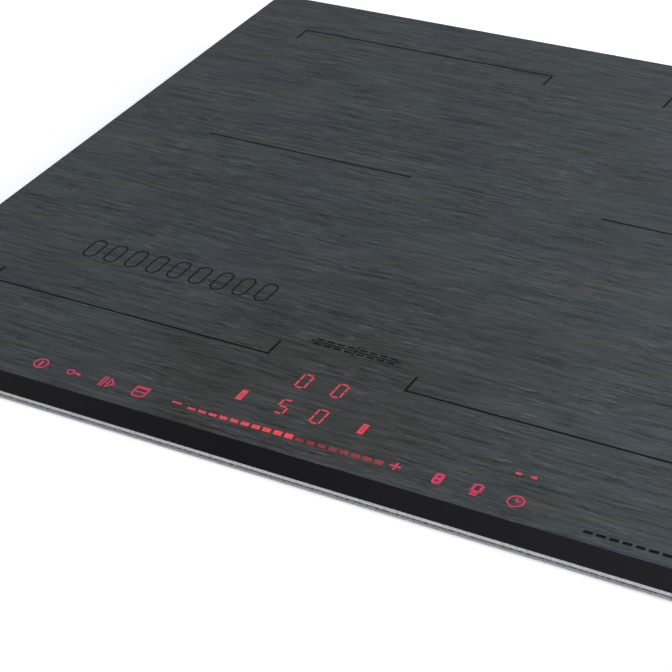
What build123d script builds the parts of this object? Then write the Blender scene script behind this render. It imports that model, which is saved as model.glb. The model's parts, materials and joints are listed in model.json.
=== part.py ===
"""Drop-in electric induction cooktop with four coils under one glass panel.

Millimetres, +X to the user's right, +Y to the back, +Z up. Z = 0 is the worktop's
surface, where the foam seal rests, and the origin is the middle of the panel.
"""
import os
from math import cos, hypot, pi, radians, sin

from build123d import *

# Glass panel with a wide polished facet along the front
GLASS_W = 590.0
GLASS_D = 520.0
GLASS_T = 4.0
GLASS_CORNER_R = 4.0
FACET_RUN = 14.7
FACET_DROP = 2.0
GLASS_ARRIS = 0.4

# Worktop cut-out that the panel laps over, and the foam seal around it
CUTOUT_LAP = 15.0
CUTOUT_PLAY = 1.0
SEAL_T = 3.0
SEAL_W = 10.0
SEAL_INSET = 0.4

# Silicone bead that bonds the rails to the glass
BEAD_T = 0.8
BEAD_W = 6.0

# Folded rails around the body
RAIL_T = 1.0
RAIL_FLANGE_W = 9.0
RAIL_LEG_H = 14.0
RAIL_SCREW_D = 3.0
RAIL_SCREW_HEAD_D = 6.0
RAIL_SCREW_HEAD_H = 2.0
RAIL_SCREW_TIP = 0.8
RAIL_SCREW_PITCH = 150.0
RAIL_SCREW_COUNT = 3
RAIL_SCREW_DROP = 8.0

# Sheet-metal base pan
PAN_DEPTH = 48.0
PAN_SHEET = 0.8
PAN_CORNER_R = 4.0
PAN_BEND_R = 2.0
VENT_SLOT_L = 30.0
VENT_SLOT_H = 4.0
VENT_PITCH = 42.0
VENT_COUNT = 9
VENT_RISE = 18.0
GRILLE_SLOT_W = 4.0
GRILLE_PITCH = 8.0
GRILLE_COUNT = 9
RIB_L = 400.0
RIB_W = 14.0
RIB_H = 1.4
RIB_PITCH = 70.0
RIB_COUNT = 3

# Swivel clamps that hold the cooktop down, stowed along the side walls
CLAMP_END = 54.0
CLAMP_REACH = 17.0
CLAMP_ARM_T = 3.0
CLAMP_LIP_H = 2.8
CLAMP_LIP_T = 2.5
CLAMP_WALL_GAP = 0.5
CLAMP_SCREW_D = 4.0
CLAMP_SCREW_HEAD_D = 7.5
CLAMP_SCREW_HEAD_H = 3.0
CLAMP_SCREW_RISE = 1.0
CLAMP_LUG_W = 16.0

# Screw heads: a bevelled rim and a cross for the driver, as shares of the head
HEAD_RIM = 0.45
HEAD_TOP = 0.72
DRIVE_SPAN = 1.1
DRIVE_BAR = 0.28
DRIVE_DEPTH = 0.55

# Fits and clearances
RUNNING_GAP = 0.05
SCREW_GAP = 0.2
LAY_GAP = 0.3

# Coils: a flat winding on a carrier, ferrite bars below it and a felt pad above it
COIL_MARGIN = 5.0
WIRE_D = 3.4
WIRE_PITCH = 4.4
WINDING_INNER_R = 22.0
FELT_T = 2.3
CARRIER_T = 2.0
CARRIER_RIM = 3.0
CARRIER_SLOT_W = 8.0
FERRITE_COUNT = 8
FERRITE_W = 12.0
FERRITE_T = 5.0
FERRITE_END_GAP = 3.0
FERRITE_AIR = 1.7
SUPPORT_R = 5.0
SUPPORT_COUNT = 4
SUPPORT_EDGE = 8.0
SENSOR_R = 7.0
SENSOR_FLANGE_R = 11.0
SENSOR_FLANGE_T = 2.0
SENSOR_TAIL = 5.0

# Aluminium decks that carry the coils, on posts above the electronics
DECK_T = 1.5
DECK_SPLIT = 6.0
DECK_WALL_GAP = 2.0
DECK_TOUCH_GAP = 7.0
DECK_HOLE_R = 25.0
POST_R = 4.0
POST_EDGE = 6.0
POST_ROW_GAP = 9.0
DECK_SCREW_D = 3.0
DECK_SCREW_HEAD_D = 6.0
DECK_SCREW_HEAD_H = 2.2
DECK_SCREW_L = 9.0

# Axial fans that draw air through the pan's floor
FAN_X = 75.0
FAN_WALL_GAP = 29.2
FAN_SIZE = 80.0
FAN_H = 25.0
FAN_RIM = 2.5
FAN_BLADE_GAP = 1.0
FAN_HUB_R = 16.0
FAN_SPIDER_T = 3.0
FAN_STRUT_W = 4.0
FAN_STRUT_COUNT = 4
FAN_PIN_R = 2.0
FAN_PIN_H = 11.0
FAN_PIN_END_GAP = 0.8
FAN_HUB_H = 16.5
FAN_HUB_GAP = 0.5
FAN_BLADE_COUNT = 7
FAN_BLADE_CHORD = 18.0
FAN_BLADE_T = 1.6
FAN_BLADE_PITCH_DEG = 38.0
FAN_HOLE_R = 2.2
FAN_HOLE_INSET = 4.3

# Power electronics
BOARD_X0 = 20.0
BOARD_SIDE_GAP = 14.2
BOARD_TOUCH_GAP = 20.0
BOARD_FAN_GAP = 17.0
BOARD_T = 1.6
BOARD_AIR = 2.9
STANDOFF_H = 5.2
STANDOFF_R = 3.5
STANDOFF_INSET = 10.0
STANDOFF_PIN_R = 1.4
STANDOFF_PIN_H = 0.8
SINK_W = 60.0
SINK_FRONT_GAP = 25.0
SINK_BASE_T = 5.0
SINK_FIN_T = 1.6
SINK_FIN_COUNT = 9
SINK_FAN_GAP = 20.0
SWITCH_T = 5.0
SWITCH_W = 16.0
SWITCH_TOP_GAP = 1.6
SWITCH_LEG = 1.0
SWITCH_LEG_H = 2.4
SWITCH_LEG_PITCH = 5.0
SWITCH_COUNT = 4
SWITCH_PITCH = 46.0
FILM_CAP_W = 42.0
FILM_CAP_D = 20.0
FILM_CAP_R = 2.0
FILM_CAP_COUNT = 3
FILM_CAP_PITCH = 32.0
FILM_CAP_SIDE = 85.0
FILM_CAP_FRONT = 80.0
CAN_CAP_R = 11.0
CAN_CAP_COUNT = 3
CAN_CAP_PITCH = 27.0
CAN_CAP_SIDE = 40.0
CAN_CAP_BACK = 58.0

# Mains terminal box in the rear right corner, closed from below by a hinged cover
TERM_W = 74.0
TERM_D = 82.2
TERM_SIDE_GAP = 13.2
TERM_WALL = 2.0
TERM_DECK_GAP = 4.5
TERM_SILL = 8.0
BLOCK_L = 46.0
BLOCK_W = 20.0
BLOCK_H = 14.0
BLOCK_POLES = 5
BLOCK_HOLE_R = 2.6
BLOCK_HOLE_DEPTH = 9.0
COVER_T = 2.0
COVER_GAP = 0.6
COVER_HINGE_BACK = 4.5
COVER_HINGE_RISE = 3.0
COVER_NOSE = 2.0
COVER_LUG_R = 2.5
COVER_LUG_W = 4.0
COVER_PIN_R = 1.5
COVER_PIN_BITE = 1.6
GROMMET_BORE_R = 6.5
GROMMET_NECK_R = 8.8
GROMMET_FLANGE_R = 12.0
GROMMET_FLANGE_T = 2.0
GROMMET_RISE = 15.0

# Touch control behind the front of the glass
TOUCH_END = 15.0
TOUCH_MARGIN = 6.2
TOUCH_BOARD_T = 1.6
TOUCH_AIR = 5.0
TOUCH_WALL_GAP = 1.2
TRAY_T = 2.0
TRAY_BACK = 12.0
TRAY_LEG_R = 4.0
TRAY_LEG_INSET = 8.0
TOUCH_PAD_R = 2.9
DISPLAY_GAP = 0.3
DISPLAY_MARGIN = 3.0
RIBBON_T = 0.8
RIBBON_W = 20.0
RIBBON_X = 75.0
RIBBON_BEND_R = 8.0
RIBBON_INSET = 6.0
RIBBON_LANDING = 12.0

# Print on the glass: zone lines, with rows measured back from the facet's upper edge
PRINT_T = 0.1
LINE_W = 1.3
ZONE_GAP = 88.6
ZONE_SIDE = 51.9
ZONE_FRONT = 78.35
ZONE_BACK = 47.3
ZONE_STEP = 47.05
ZONE_TICK = 14.4
MIDDLE_INSET = 22.1

# Control symbols
ROW_KEYS = 15.4
ROW_LOWER = 37.0
ROW_UPPER = 62.8
KEY_POWER_X = -157.6
KEY_LOCK_X = -134.4
KEY_PAUSE_X = -111.4
KEY_WARM_X = -89.2
KEY_MINUS_X = -64.3
KEY_PLUS_X = 72.6
KEY_BOOST_X = 97.6
KEY_GRILL_X = 119.6
KEY_CLOCK_X = 142.0
STROKE = 0.85
POWER_R = 4.6
POWER_BAR_L = 5.2
POWER_BAR_W = 1.2
LOCK_RING_R = 2.4
LOCK_SHAFT_L = 5.4
LOCK_BIT_L = 2.2
LOCK_BIT_H = 1.7
PAUSE_BAR_H = 9.2
PAUSE_BAR_PITCH = 1.9
PLAY_SIDE = 6.6
PLAY_OPEN = 0.6
POT_W = 9.0
POT_H = 9.8
POT_R = 3.6
POT_LID_H = 1.7
MINUS_L = 6.4
PLUS_L = 6.4
SIGN_STROKE = 1.2
BOOST_W = 5.2
BOOST_H = 9.0
BOOST_R = 1.9
BOOST_STROKE = 1.7
GRILL_W = 5.2
GRILL_H = 7.0
GRILL_R = 2.0
GRILL_STROKE = 1.2
GRILL_TICK_L = 0.8
GRILL_TICK_PITCH = 2.0
GRILL_RISE = 1.5
GRILL_BAR_L = 4.4
GRILL_BAR_PITCH = 1.6
CLOCK_R = 4.8
CLOCK_HAND_L = 3.0
SLIDER_X0 = -56.1
SLIDER_PITCH = 6.87
SLIDER_L = 5.0
SLIDER_LEAN = 0.6
SLIDER_BASE = 12.9
SLIDER_LOW_H = 1.8
SLIDER_HIGH_H = 3.8
SLIDER_DIM_LOW_H = 2.4
SLIDER_DIM_HIGH_H = 3.6
SLIDER_LIT = 10
SLIDER_COUNT = 18
DIGIT_W = 7.0
DIGIT_H = 13.5
DIGIT_STROKE = 1.1
DIGIT_GAP = 0.5
DIGIT_PITCH = 22.7
DIGIT_UPPER_X = -10.8
DIGIT_LOWER_X = -9.0
MARKER_W = 3.6
MARKER_H = 9.2
MARKER_LINE_W = 0.45
MARKER_LINE_L = 5.6
MARKER_LEFT_X = -35.7
MARKER_RIGHT_X = 41.0
TIMER_X = 137.6
TIMER_PITCH = 8.7
TIMER_DASH_L = 3.6
TIMER_DASH_H = 1.75
TIMER_DASH_R = 0.6

# Plain ornament printed where the panel has room beside the zones
GRID_X0 = -204.0
GRID_PITCH = 15.6
GRID_COUNT = 9
GRID_SLOT_W = 9.6
GRID_SLOT_H = 20.0
GRID_SLOT_R = 4.7
GRID_STROKE = 0.9
GRID_ROW = 133.5
CROSS_X = 0.5
CROSS_ROW = 100.6
CROSS_L = 58.0
CROSS_H = 9.0
CROSS_STROKE = 0.8
CROSS_DASH_L = 4.6
CROSS_DASH_H = 1.2
CROSS_DASH_RISE = 2.25
CROSS_DASH_START = 4.0
CROSS_DASH_PITCH = 6.6
CROSS_DASH_COUNT = 4
FOOT_X = 206.0
FOOT_ROW = 8.2
FOOT_DASH_L = 5.0
FOOT_DASH_H = 2.0
FOOT_DASH_PITCH = 7.0
FOOT_DASH_COUNT = 7

# Levels worked out from the seat upwards and downwards
Z_GLASS = SEAL_T
Z_TOP = Z_GLASS + GLASS_T
Z_FLANGE = Z_GLASS - BEAD_T
Z_PAN_TOP = Z_FLANGE - RAIL_T
Z_BOTTOM = -PAN_DEPTH
Z_FLOOR = Z_BOTTOM + PAN_SHEET
Z_RAIL_END = Z_FLANGE - RAIL_LEG_H
Z_FELT = Z_GLASS - FELT_T
Z_WIRE = Z_FELT - LAY_GAP - WIRE_D / 2
Z_CARRIER_TOP = Z_WIRE - WIRE_D / 2 - LAY_GAP
Z_CARRIER = Z_CARRIER_TOP - CARRIER_T
Z_FERRITE = Z_CARRIER - FERRITE_T
Z_DECK_TOP = Z_FERRITE - FERRITE_AIR
Z_DECK = Z_DECK_TOP - DECK_T
Z_BOARD = Z_FLOOR + STANDOFF_H
Z_BOARD_TOP = Z_BOARD + BOARD_T
Z_TOUCH_TOP = Z_GLASS - TOUCH_AIR
Z_TOUCH = Z_TOUCH_TOP - TOUCH_BOARD_T
Z_TRAY = Z_TOUCH - TRAY_T
Z_BOARD_FULL = Z_DECK - BOARD_AIR
TERM_TOP_Z = Z_DECK - TERM_DECK_GAP
GROMMET_Z = Z_BOTTOM + GROMMET_RISE

# Places in the plan
FLANGE_X = GLASS_W / 2 - CUTOUT_LAP - CUTOUT_PLAY
FLANGE_Y = GLASS_D / 2 - CUTOUT_LAP - CUTOUT_PLAY
PAN_X = FLANGE_X - RAIL_FLANGE_W
PAN_Y = FLANGE_Y - RAIL_FLANGE_W
PAN_INNER_X = PAN_X - PAN_SHEET
PAN_INNER_Y = PAN_Y - PAN_SHEET
FACET_Y = FACET_RUN - GLASS_D / 2
ZONE_W = (GLASS_W - ZONE_GAP) / 2 - ZONE_SIDE
ZONE_X = (ZONE_GAP + ZONE_W) / 2
ZONE_REAR = GLASS_D - FACET_RUN - ZONE_BACK
ZONE_MIDDLE = (ZONE_FRONT + ZONE_REAR + ZONE_STEP) / 2
CLAMP_X = PAN_X + RAIL_FLANGE_W / 2
CLAMP_Y = FLANGE_Y - CLAMP_END
SENSOR_HOLE_R = SENSOR_R + SCREW_GAP
FAN_BORE_R = FAN_SIZE / 2 - FAN_RIM
FAN_Y = PAN_INNER_Y - FAN_WALL_GAP - FAN_SIZE / 2
FAN_FRONT_Y = FAN_Y - FAN_SIZE / 2
TERM_X1 = PAN_INNER_X - TERM_SIDE_GAP
TERM_X0 = TERM_X1 - TERM_W
TERM_Y1 = PAN_INNER_Y - PAN_BEND_R
TERM_Y0 = TERM_Y1 - TERM_D
GROMMET_X = (TERM_X0 + TERM_X1) / 2
DISPLAY_D = ROW_UPPER - ROW_LOWER + DIGIT_H
DISPLAY_Y = FACET_Y + (ROW_LOWER + ROW_UPPER) / 2
TOUCH_X0 = KEY_POWER_X - TOUCH_END
TOUCH_X1 = KEY_CLOCK_X + TOUCH_END
TOUCH_Y0 = TOUCH_WALL_GAP - PAN_INNER_Y
TOUCH_Y1 = DISPLAY_Y + DISPLAY_D / 2 + TOUCH_MARGIN
DECK_FRONT_Y = TOUCH_Y1 + DECK_TOUCH_GAP
BOARD_X1 = PAN_INNER_X - BOARD_SIDE_GAP
BOARD_Y0 = TOUCH_Y1 + BOARD_TOUCH_GAP
BOARD_Y1 = FAN_FRONT_Y - BOARD_FAN_GAP
RIB_Y = (BOARD_Y0 + BOARD_Y1) / 2
POST_ROW_Y = BOARD_Y1 + POST_ROW_GAP
SINK_Y0 = BOARD_Y0 + SINK_FRONT_GAP
SINK_Y1 = FAN_FRONT_Y - SINK_FAN_GAP
SIDES = {"left": -1, "right": 1}
LOW = (Align.CENTER, Align.CENTER, Align.MIN)

os.makedirs("parts", exist_ok=True)


def save(piece, name):
    """Label a finished sub-part and write it to its own file."""
    piece.part.label = name
    export_step(piece.part, f"parts/{name}.step")


def slab(x0, x1, y0, y1, z0, z1, mode=Mode.ADD):
    """Rectangular block between two corners."""
    with Locations(((x0 + x1) / 2, (y0 + y1) / 2, (z0 + z1) / 2)):
        Box(abs(x1 - x0), abs(y1 - y0), abs(z1 - z0), mode=mode)


def post(x, y, z0, z1, radius, mode=Mode.ADD):
    """Upright cylinder between two levels."""
    with Locations((x, y, z0)):
        Cylinder(radius, z1 - z0, align=LOW, mode=mode)


def lying(start, direction, radius, length, mode=Mode.ADD):
    """Cylinder that starts at a point and runs along a direction."""
    with Locations(Plane(start, z_dir=direction).location):
        Cylinder(radius, length, align=LOW, mode=mode)


def screw_head(seat, direction, radius, height):
    """Round head on its seat, with a bevelled rim and a cross for the driver."""
    base = Plane(seat, z_dir=direction)
    rim = height * HEAD_RIM
    with Locations(base.location):
        Cylinder(radius, rim, align=LOW)
    with Locations(base.offset(rim).location):
        Cone(radius, radius * HEAD_TOP, height - rim, align=LOW)
    with Locations(base.offset(height).location):
        for turn in (0, 90):
            Box(radius * DRIVE_SPAN, radius * DRIVE_BAR, 2 * height * DRIVE_DEPTH,
                rotation=(0, 0, turn), mode=Mode.SUBTRACT)


def rail_screw_places():
    """Middle point on the pan's wall and outward direction of each rail screw."""
    z = Z_FLANGE - RAIL_SCREW_DROP
    middle = (RAIL_SCREW_COUNT - 1) / 2
    for k in range(RAIL_SCREW_COUNT):
        along = (k - middle) * RAIL_SCREW_PITCH
        for side in (-1, 1):
            yield (side * PAN_X, along, z), (side, 0, 0)
            yield (along, side * PAN_Y, z), (0, side, 0)


def clamp_places():
    """Name, axis and stowed direction of each worktop clamp."""
    for x_name, x_side in SIDES.items():
        for y_name, y_side in (("front", -1), ("rear", 1)):
            yield f"{y_name}_{x_name}", x_side * CLAMP_X, y_side * CLAMP_Y, -y_side


def coil_places():
    """Name, centre and number of turns of each coil, which fills its zone but for a margin."""
    for x_name, side in SIDES.items():
        for y_name, row0, row1 in (("front", ZONE_FRONT, ZONE_MIDDLE), ("rear", ZONE_MIDDLE, ZONE_REAR)):
            reach = min(ZONE_W, row1 - row0) / 2 - COIL_MARGIN - WIRE_D / 2
            turns = int((reach - WINDING_INNER_R) / WIRE_PITCH)
            yield f"{y_name}_{x_name}", side * ZONE_X, FACET_Y + (row0 + row1) / 2, turns


def winding_radius(turns):
    """Outer radius of a winding."""
    return WINDING_INNER_R + turns * WIRE_PITCH + WIRE_D / 2


def deck_span(side):
    """Lower and upper X of one deck."""
    inner = side * DECK_SPLIT / 2
    outer = side * (PAN_INNER_X - DECK_WALL_GAP)
    return min(inner, outer), max(inner, outer)


def post_places(side):
    """Centres of the posts under one deck."""
    x0, x1 = deck_span(side)
    y1 = PAN_INNER_Y - DECK_WALL_GAP
    for x in (x0 + POST_EDGE, x1 - POST_EDGE):
        for y in (DECK_FRONT_Y + POST_EDGE, POST_ROW_Y, y1 - POST_EDGE):
            yield x, y


def standoff_places(side):
    """Centres of the standoffs under one power board."""
    xs = (BOARD_X0 + STANDOFF_INSET, BOARD_X1 - STANDOFF_INSET)
    ys = (BOARD_Y0 + STANDOFF_INSET, BOARD_Y1 - STANDOFF_INSET)
    for x in xs:
        for y in ys:
            yield side * x, y


# Glass panel
with BuildPart() as glass_panel:
    with BuildSketch(Plane.XY.offset(Z_GLASS)):
        RectangleRounded(GLASS_W, GLASS_D, GLASS_CORNER_R)
    extrude(amount=GLASS_T)
    with BuildSketch(Plane.YZ):
        with BuildLine():
            Polyline(
                (FACET_Y, Z_TOP),
                (FACET_Y - FACET_RUN, Z_TOP - FACET_DROP),
                (FACET_Y - FACET_RUN, Z_TOP),
                close=True,
            )
        make_face()
    extrude(amount=GLASS_W / 2, both=True, mode=Mode.SUBTRACT)
    rim = glass_panel.faces().sort_by(Axis.Z)[-1].edges()
    chamfer(rim.sort_by(Axis.Y)[1:], GLASS_ARRIS)
save(glass_panel, "glass_panel")

# Foam seal: a ring that follows the outline of the glass
SEAL_X1 = GLASS_W / 2 - SEAL_INSET
SEAL_Y1 = GLASS_D / 2 - SEAL_INSET
SEAL_X0 = SEAL_X1 - SEAL_W
SEAL_Y0 = SEAL_Y1 - SEAL_W
with BuildPart() as worktop_seal:
    with BuildSketch():
        RectangleRounded(2 * SEAL_X1, 2 * SEAL_Y1, GLASS_CORNER_R - SEAL_INSET)
        Rectangle(2 * SEAL_X0, 2 * SEAL_Y0, mode=Mode.SUBTRACT)
    extrude(amount=SEAL_T)
save(worktop_seal, "worktop_seal")

# Silicone bead between the rail flanges and the glass
BEAD_X = PAN_X + (RAIL_FLANGE_W + BEAD_W) / 2
BEAD_Y = PAN_Y + (RAIL_FLANGE_W + BEAD_W) / 2
with BuildPart() as silicone_bead:
    with BuildSketch(Plane.XY.offset(Z_FLANGE)):
        Rectangle(2 * BEAD_X, 2 * BEAD_Y)
        Rectangle(2 * (BEAD_X - BEAD_W), 2 * (BEAD_Y - BEAD_W), mode=Mode.SUBTRACT)
    extrude(amount=BEAD_T)
save(silicone_bead, "silicone_bead")

# Side rails with a folded lug for each clamp screw
for name, side in SIDES.items():
    with BuildPart() as rail:
        slab(side * PAN_X, side * FLANGE_X, -FLANGE_Y, FLANGE_Y, Z_PAN_TOP, Z_FLANGE)
        slab(side * PAN_X, side * (PAN_X + RAIL_T), -FLANGE_Y, FLANGE_Y, Z_RAIL_END, Z_FLANGE)
        for y in (-CLAMP_Y, CLAMP_Y):
            y0 = y - CLAMP_LUG_W / 2
            y1 = y + CLAMP_LUG_W / 2
            slab(side * PAN_X, side * FLANGE_X, y0, y1, Z_RAIL_END, Z_RAIL_END + RAIL_T)
            post(side * CLAMP_X, y, Z_RAIL_END, Z_RAIL_END + RAIL_T,
                 CLAMP_SCREW_D / 2 + SCREW_GAP, Mode.SUBTRACT)
        for place, direction in rail_screw_places():
            if direction[0] == side:
                lying(place, direction, RAIL_SCREW_D / 2 + SCREW_GAP, RAIL_T, Mode.SUBTRACT)
    save(rail, f"rail_{name}")

# Front and rear rails between the side rails
for name, side in (("front", -1), ("rear", 1)):
    with BuildPart() as rail:
        slab(-PAN_X, PAN_X, side * PAN_Y, side * FLANGE_Y, Z_PAN_TOP, Z_FLANGE)
        slab(-PAN_X, PAN_X, side * PAN_Y, side * (PAN_Y + RAIL_T), Z_RAIL_END, Z_FLANGE)
        for place, direction in rail_screw_places():
            if direction[1] == side:
                lying(place, direction, RAIL_SCREW_D / 2 + SCREW_GAP, RAIL_T, Mode.SUBTRACT)
    save(rail, f"rail_{name}")

# Base pan with pressed ribs, air slots in the front wall and a grille under each fan
OPEN_X0 = TERM_X0 + TERM_WALL
OPEN_X1 = TERM_X1 - TERM_WALL
OPEN_Y0 = TERM_Y0 + TERM_WALL
OPEN_Y1 = TERM_Y1 - TERM_SILL
with BuildPart() as base_pan:
    with BuildSketch(Plane.XY.offset(Z_BOTTOM)):
        RectangleRounded(2 * PAN_X, 2 * PAN_Y, PAN_CORNER_R)
    extrude(amount=Z_PAN_TOP - Z_BOTTOM)
    fillet(base_pan.faces().sort_by(Axis.Z)[0].edges(), PAN_BEND_R)
    offset(amount=-PAN_SHEET, openings=base_pan.faces().sort_by(Axis.Z)[-1])
    with BuildSketch(Plane.XY.offset(Z_BOTTOM)):
        with Locations((0, RIB_Y)):
            with GridLocations(RIB_L, RIB_PITCH, 1, RIB_COUNT):
                SlotOverall(RIB_L, RIB_W)
    extrude(amount=RIB_H + PAN_SHEET)
    with BuildSketch(Plane.XY.offset(Z_BOTTOM)):
        with Locations((0, RIB_Y)):
            with GridLocations(RIB_L, RIB_PITCH, 1, RIB_COUNT):
                SlotOverall(RIB_L - 2 * PAN_SHEET, RIB_W - 2 * PAN_SHEET)
    extrude(amount=RIB_H, mode=Mode.SUBTRACT)
    slab(OPEN_X0, OPEN_X1, OPEN_Y0, OPEN_Y1, Z_BOTTOM, Z_FLOOR, Mode.SUBTRACT)
    with BuildSketch(Plane.XY.offset(Z_BOTTOM)):
        for side in SIDES.values():
            for k in range(GRILLE_COUNT):
                rise = (k - (GRILLE_COUNT - 1) / 2) * GRILLE_PITCH
                chord = 2 * (FAN_BORE_R ** 2 - rise ** 2) ** 0.5
                with Locations((side * FAN_X, FAN_Y + rise)):
                    SlotOverall(chord, GRILLE_SLOT_W)
    extrude(amount=PAN_SHEET, mode=Mode.SUBTRACT)
    with BuildSketch(Plane.XZ.offset(PAN_Y)):
        with Locations((0, Z_BOTTOM + VENT_RISE)):
            with GridLocations(VENT_PITCH, 2 * VENT_SLOT_H, VENT_COUNT, 2):
                SlotOverall(VENT_SLOT_L, VENT_SLOT_H)
    extrude(amount=-PAN_SHEET, mode=Mode.SUBTRACT)
    lying((GROMMET_X, PAN_INNER_Y, GROMMET_Z), (0, 1, 0), GROMMET_NECK_R + SCREW_GAP,
          PAN_SHEET, Mode.SUBTRACT)
    for place, direction in rail_screw_places():
        inward = tuple(-d for d in direction)
        lying(place, inward, RAIL_SCREW_D / 2 + SCREW_GAP, PAN_SHEET, Mode.SUBTRACT)
save(base_pan, "base_pan")

# Screws that hold the pan to the rails
with BuildPart() as rail_screws:
    for place, direction in rail_screw_places():
        seat = Vector(*place) + Vector(*direction) * RAIL_T
        inward = Vector(*direction) * -1
        screw_head(seat, direction, RAIL_SCREW_HEAD_D / 2, RAIL_SCREW_HEAD_H)
        lying(seat, inward, RAIL_SCREW_D / 2, RAIL_T + PAN_SHEET + RAIL_SCREW_TIP)
save(rail_screws, "rail_screws")

# Worktop clamps and their screws
Z_CLAMP_HEAD = Z_BOTTOM + CLAMP_SCREW_RISE + CLAMP_SCREW_HEAD_H
Z_CLAMP = Z_CLAMP_HEAD + SCREW_GAP
CLAMP_ARM_W = RAIL_FLANGE_W - 2 * CLAMP_WALL_GAP
for name, x, y, way in clamp_places():
    with BuildPart() as clamp:
        post(x, y, Z_CLAMP, Z_CLAMP + CLAMP_ARM_T, CLAMP_ARM_W / 2)
        x0 = x - CLAMP_ARM_W / 2
        x1 = x + CLAMP_ARM_W / 2
        tip = y + way * CLAMP_REACH
        slab(x0, x1, y, tip, Z_CLAMP, Z_CLAMP + CLAMP_ARM_T)
        slab(x0, x1, tip - way * CLAMP_LIP_T, tip, Z_CLAMP, Z_CLAMP + CLAMP_ARM_T + CLAMP_LIP_H)
        post(x, y, Z_CLAMP, Z_CLAMP + CLAMP_ARM_T, CLAMP_SCREW_D / 2 + RUNNING_GAP, Mode.SUBTRACT)
    save(clamp, f"clamp_{name}")

with BuildPart() as clamp_screws:
    for name, x, y, way in clamp_places():
        screw_head((x, y, Z_CLAMP_HEAD), (0, 0, -1), CLAMP_SCREW_HEAD_D / 2, CLAMP_SCREW_HEAD_H)
        post(x, y, Z_CLAMP_HEAD, Z_RAIL_END + RAIL_T + CLAMP_SCREW_RISE, CLAMP_SCREW_D / 2)
save(clamp_screws, "clamp_screws")

# Coil decks
for name, side in SIDES.items():
    x0, x1 = deck_span(side)
    with BuildPart() as coil_deck:
        slab(x0, x1, DECK_FRONT_Y, PAN_INNER_Y - DECK_WALL_GAP, Z_DECK, Z_DECK_TOP)
        for coil_name, x, y, turns in coil_places():
            if x * side > 0:
                post(x, y, Z_DECK, Z_DECK_TOP, DECK_HOLE_R, Mode.SUBTRACT)
        for x, y in post_places(side):
            post(x, y, Z_DECK, Z_DECK_TOP, DECK_SCREW_D / 2 + SCREW_GAP, Mode.SUBTRACT)
    save(coil_deck, f"coil_deck_{name}")

# Posts under the decks and the screws that hold the decks to them
with BuildPart() as deck_posts:
    for side in SIDES.values():
        for x, y in post_places(side):
            post(x, y, Z_FLOOR, Z_DECK, POST_R)
            post(x, y, Z_DECK - DECK_SCREW_L, Z_DECK, DECK_SCREW_D / 2 + SCREW_GAP, Mode.SUBTRACT)
save(deck_posts, "deck_posts")

with BuildPart() as deck_screws:
    for side in SIDES.values():
        for x, y in post_places(side):
            screw_head((x, y, Z_DECK_TOP), (0, 0, 1), DECK_SCREW_HEAD_D / 2, DECK_SCREW_HEAD_H)
            post(x, y, Z_DECK_TOP - DECK_SCREW_L, Z_DECK_TOP, DECK_SCREW_D / 2)
save(deck_screws, "deck_screws")


def winding_path(turns):
    """Flat spiral of half turns about two centres, with a straight lead at each end."""
    start = Vector(WINDING_INNER_R, 0)
    lead = Vector(0, WIRE_D)
    pieces = [Line(start - lead, start)]
    for k in range(2 * turns):
        side = 1 if k % 2 == 0 else -1
        radius = WINDING_INNER_R + (k + 0.5) * WIRE_PITCH / 2
        end = start - Vector(side * 2 * radius, 0)
        middle = (start + end) * 0.5 + Vector(0, side * radius)
        pieces.append(ThreePointArc(start, middle, end))
        start = end
    pieces.append(Line(start, start + lead))
    return Wire(pieces)


def least_gap(wire, turns):
    """Smallest space between neighbouring turns, measured on points of the path."""
    count = 48 * turns
    points = [wire.position_at(k / count) for k in range(count + 1)]
    reach = pi * WINDING_INNER_R
    step = wire.length / count
    skip = int(reach / step)
    gaps = []
    for i, first in enumerate(points):
        for second in points[i + skip:]:
            gaps.append(hypot(first.X - second.X, first.Y - second.Y))
    return min(gaps) - WIRE_D


# Windings: one unbroken wire each
for name, x, y, turns in coil_places():
    with BuildPart() as winding:
        path = winding_path(turns).moved(Location((x, y, Z_WIRE)))
        with BuildSketch(Plane(path.position_at(0), z_dir=path.tangent_at(0))):
            Circle(WIRE_D / 2)
        sweep(path=path)
    print(f"winding_{name}: {turns} turns, least gap {least_gap(path, turns):.2f} mm,"
          f" volume share {winding.part.volume / (path.length * pi * WIRE_D ** 2 / 4):.4f}")
    save(winding, f"winding_{name}")

# Coil carriers with air slots between the spokes that the ferrite bars lie under
for name, x, y, turns in coil_places():
    outer = winding_radius(turns)
    slot_end = outer - SUPPORT_EDGE - 2 * SUPPORT_R
    slot_l = slot_end - WINDING_INNER_R
    turn = 360 / FERRITE_COUNT
    with BuildPart() as carrier:
        with BuildSketch(Plane((x, y, Z_CARRIER))):
            Circle(outer + CARRIER_RIM)
            Circle(SENSOR_HOLE_R, mode=Mode.SUBTRACT)
            with PolarLocations((slot_end + WINDING_INNER_R) / 2, FERRITE_COUNT, start_angle=turn / 2):
                SlotOverall(slot_l, CARRIER_SLOT_W, mode=Mode.SUBTRACT)
        extrude(amount=CARRIER_T)
    save(carrier, f"coil_carrier_{name}")

# Ferrite bars glued under the carriers
for name, x, y, turns in coil_places():
    bar_l = winding_radius(turns) - WINDING_INNER_R - 2 * FERRITE_END_GAP
    with BuildPart() as ferrites:
        with BuildSketch(Plane((x, y, Z_FERRITE))):
            with PolarLocations(WINDING_INNER_R + FERRITE_END_GAP + bar_l / 2, FERRITE_COUNT):
                Rectangle(bar_l, FERRITE_W)
        extrude(amount=FERRITE_T)
    save(ferrites, f"ferrites_{name}")

# Felt pads between the windings and the glass
for name, x, y, turns in coil_places():
    with BuildPart() as felt_pad:
        with BuildSketch(Plane((x, y, Z_FELT))):
            Circle(winding_radius(turns) + CARRIER_RIM)
            Circle(SENSOR_HOLE_R + LAY_GAP, mode=Mode.SUBTRACT)
        extrude(amount=FELT_T)
    save(felt_pad, f"felt_pad_{name}")

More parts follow.
